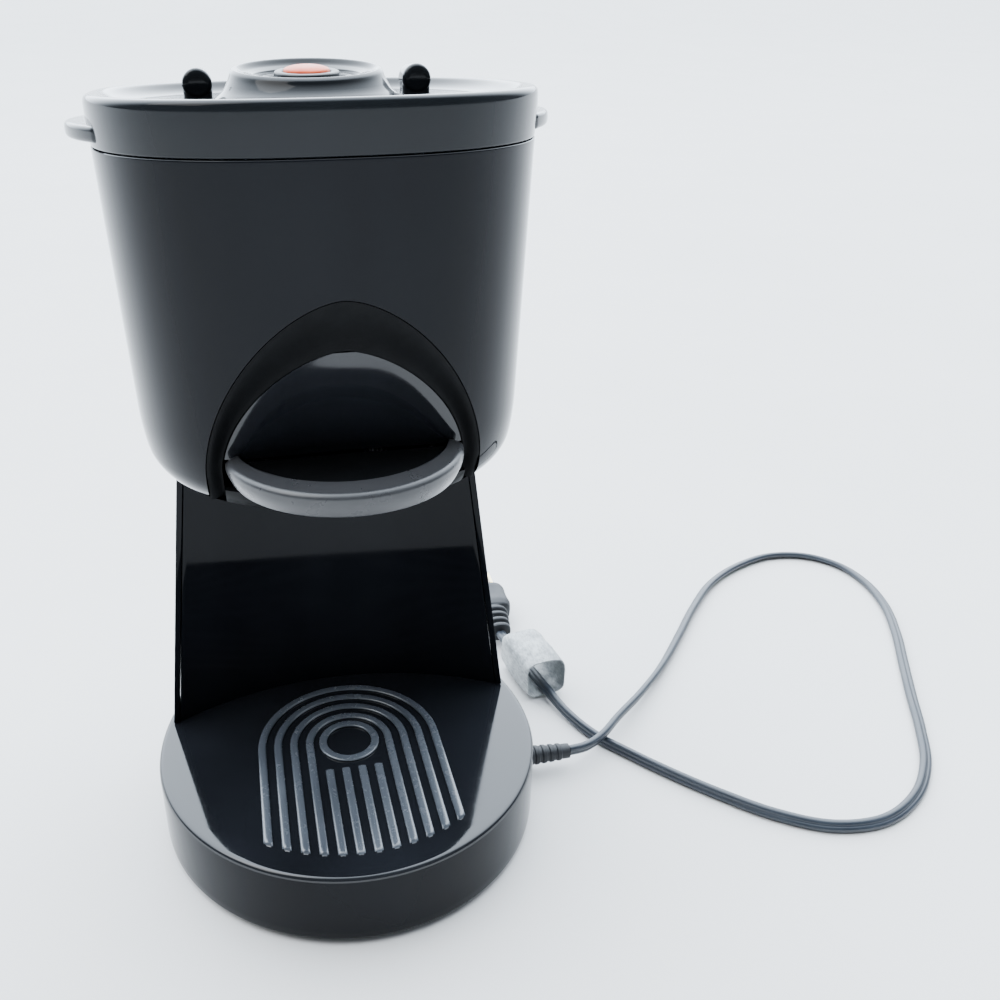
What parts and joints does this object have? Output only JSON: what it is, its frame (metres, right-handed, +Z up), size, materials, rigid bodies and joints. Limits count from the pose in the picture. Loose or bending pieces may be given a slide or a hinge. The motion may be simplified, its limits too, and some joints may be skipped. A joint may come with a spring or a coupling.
{
  "type": "hot water dispenser",
  "caption": "One-cup hot-water dispenser: round ribbed base, hollow column, tapered water head with a press-down dispense bar, and a lift-off lid with a heat button.",
  "frame": {"origin": "on the standing surface, under the middle of the machine's own box, the cord and what is on it left out", "axes": "+Z up, -Y towards the user in front of the dispense bar, +X to the machine's side that the cord leaves from"},
  "size_m": [0.4252, 0.2487, 0.307],
  "materials": {
    "gloss_black": "glossy moulded black plastic",
    "satin_black": "satin black plastic",
    "inner_black": "matt black plastic inside",
    "rubber_black": "matt rubber",
    "bar_grey": "satin mid-grey plastic",
    "lens_amber": "translucent orange-red lens",
    "clear_plastic": "clear acrylic",
    "silicone": "pale silicone",
    "aluminium": "plain sheet",
    "steel": "plain bright steel",
    "brass_plated": "plug blade brass",
    "cord_jacket": "blue-black flexible jacket",
    "paper_label": "blank grey-white tag"
  },
  "bodies": {
    "body": {"base_shell": "gloss_black", "base_cover": "satin_black", "terminal_block": "silicone", "rear_shell": "gloss_black", "column_front": "gloss_black", "wiring_loom": "rubber_black", "supply_lead": "cord_jacket", "head_shell": "gloss_black", "arch_bezel": "satin_black", "scoop_panel": "gloss_black", "tank": "inner_black", "heater_plate": "aluminium", "heating_element": "steel", "thermostat": "aluminium", "thermal_fuse": "silicone", "switch_body": "inner_black", "indicator_lamp": "clear_plastic", "valve_body": "inner_black", "valve_spring": "steel", "spout": "satin_black", "lever_pin": "steel", "lever_spring": "steel", "strain_relief": "rubber_black", "power_cord": "cord_jacket", "cord_label": "paper_label", "plug_body": "rubber_black", "plug_blade_left": "brass_plated", "plug_blade_right": "brass_plated", "foot_front_left": "rubber_black", "base_screw_front_left": "steel", "foot_front_right": "rubber_black", "base_screw_front_right": "steel", "foot_rear_left": "rubber_black", "base_screw_rear_left": "steel", "foot_rear_right": "rubber_black", "base_screw_rear_right": "steel"},
    "lid": {"lid": "gloss_black", "lid_gasket": "silicone", "lid_peg_left": "gloss_black", "lid_peg_right": "gloss_black", "button_housing": "gloss_black", "button_ring": "satin_black", "button_spring": "steel"},
    "heat_button": {"heat_button": "lens_amber"},
    "light_rod": {"light_rod": "clear_plastic"},
    "lever": {"dispense_bar": "bar_grey", "lever_arm": "satin_black"},
    "valve": {"valve_plunger": "silicone", "valve_seal": "silicone"}
  },
  "joints": [
    {"name": "lid_lift", "type": "slide", "parent": "body", "child": "lid", "axis": [0, 0, 1], "range_m": [0, 0.12]},
    {"name": "heat_button_press", "type": "slide", "parent": "lid", "child": "heat_button", "axis": [0, 0, -1], "range_m": [0, 0.002], "stiffness_N_per_m": 400, "springref_m": -0.002, "deforming": ["button_spring"]},
    {"name": "light_rod_press", "type": "slide", "parent": "body", "child": "light_rod", "axis": [0, 0, -1], "range_m": [0, 0.002], "stiffness_N_per_m": 200, "springref_m": -0.002},
    {"name": "dispense_press", "type": "hinge", "parent": "body", "child": "lever", "pos_m": [0, -0.045, 0.184], "axis": [1, 0, 0], "range_deg": [0, 8], "stiffness_Nm_per_rad": 0.6, "springref_deg": -6.88},
    {"name": "valve_lift", "type": "slide", "parent": "body", "child": "valve", "axis": [0, 0, 1], "range_m": [0, 0.0046], "stiffness_N_per_m": 20, "springref_m": -0.004, "deforming": ["valve_spring"]}
  ],
  "couplings": [
    {"joint": "light_rod_press", "follows": "heat_button_press", "ratio": 1},
    {"joint": "valve_lift", "follows": "dispense_press", "m_per_rad": 0.0315}
  ]
}
